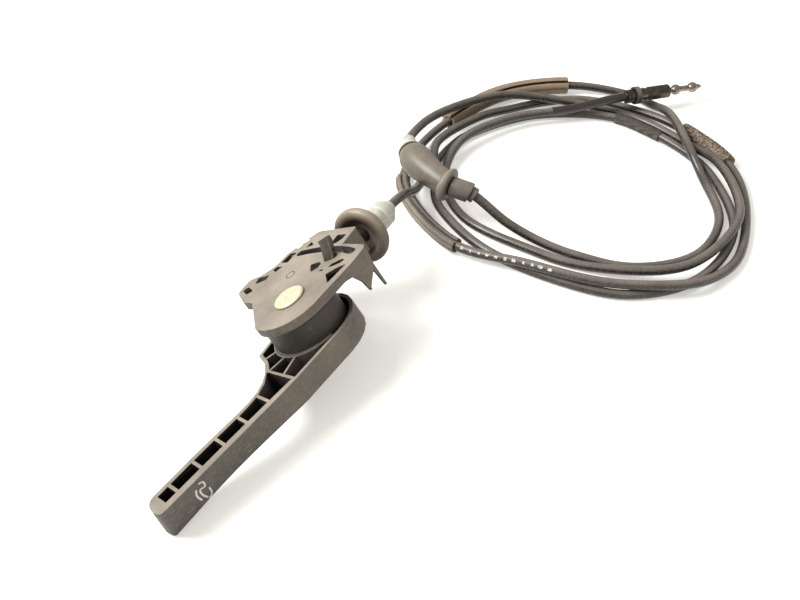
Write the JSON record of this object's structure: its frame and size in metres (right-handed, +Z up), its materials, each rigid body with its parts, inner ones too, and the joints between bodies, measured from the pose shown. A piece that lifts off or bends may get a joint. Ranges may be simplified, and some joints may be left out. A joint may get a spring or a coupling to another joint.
{
  "type": "hood release handle",
  "caption": "Pull lever on a flat bracket, with a crank that pulls a Bowden cable: sleeve, panel grommet, coiled conduit with sleeves and boot, and a ball-ended stud.",
  "frame": {"origin": "centre of the footprint of the handle and bracket, on the surface they lie on", "axes": "+Z up, -X along the grip towards its tip, +X along the cable as it leaves the bracket"},
  "size_m": [0.4611, 0.214, 0.0599],
  "materials": {
    "lever": "worn satin",
    "crank": "yellow zinc plated",
    "bracket": "worn satin",
    "pivot_rivet": "bare, greased",
    "pivot_washer": "bare",
    "wire_nipple": "bare",
    "wire_lead": "stranded",
    "wire_ferrule": "yellow zinc plated",
    "adjuster_sleeve": "satin",
    "panel_grommet": "matte",
    "cable_conduit": "dusty satin",
    "split_sleeve": "worn matte",
    "fluted_sleeve": "dusty matte",
    "foam_wrap": "open foam",
    "tape_wrap": "cloth tape",
    "elbow_boot": "dusty matte",
    "boot_ring": "satin",
    "neck_sleeve": "satin",
    "flange_insert": "satin",
    "end_sleeve": "yellow zinc plated",
    "end_collar": "satin",
    "end_stud": "bare, turned"
  },
  "bodies": {
    "bracket": {"bracket": "bracket", "pivot_rivet": "pivot_rivet", "pivot_washer": "pivot_washer", "wire_lead": "wire_lead", "wire_ferrule": "wire_ferrule", "adjuster_sleeve": "adjuster_sleeve", "panel_grommet": "panel_grommet", "cable_conduit": "cable_conduit", "split_sleeve": "split_sleeve", "fluted_sleeve": "fluted_sleeve", "foam_wrap": "foam_wrap", "tape_wrap": "tape_wrap", "elbow_boot": "elbow_boot", "boot_ring": "boot_ring", "neck_sleeve": "neck_sleeve", "flange_insert": "flange_insert", "end_sleeve": "end_sleeve", "end_collar": "end_collar"},
    "lever": {"lever": "lever", "crank": "crank", "wire_nipple": "wire_nipple"},
    "wire_end": {"end_stud": "end_stud"}
  },
  "joints": [
    {"name": "lever_pivot", "type": "hinge", "parent": "bracket", "child": "lever", "pos_m": [0.0138, -0.0026, 0.04245], "axis": [-0.1305, 0.5106, 0.8498], "range_deg": [0, 50]},
    {"name": "stud_slide", "type": "slide", "parent": "bracket", "child": "wire_end", "axis": [-0.7882, 0.6129, 0.056], "range_m": [0, 0.0117]}
  ],
  "couplings": [
    {"joint": "stud_slide", "follows": "lever_pivot", "m_per_rad": 0.0134}
  ]
}
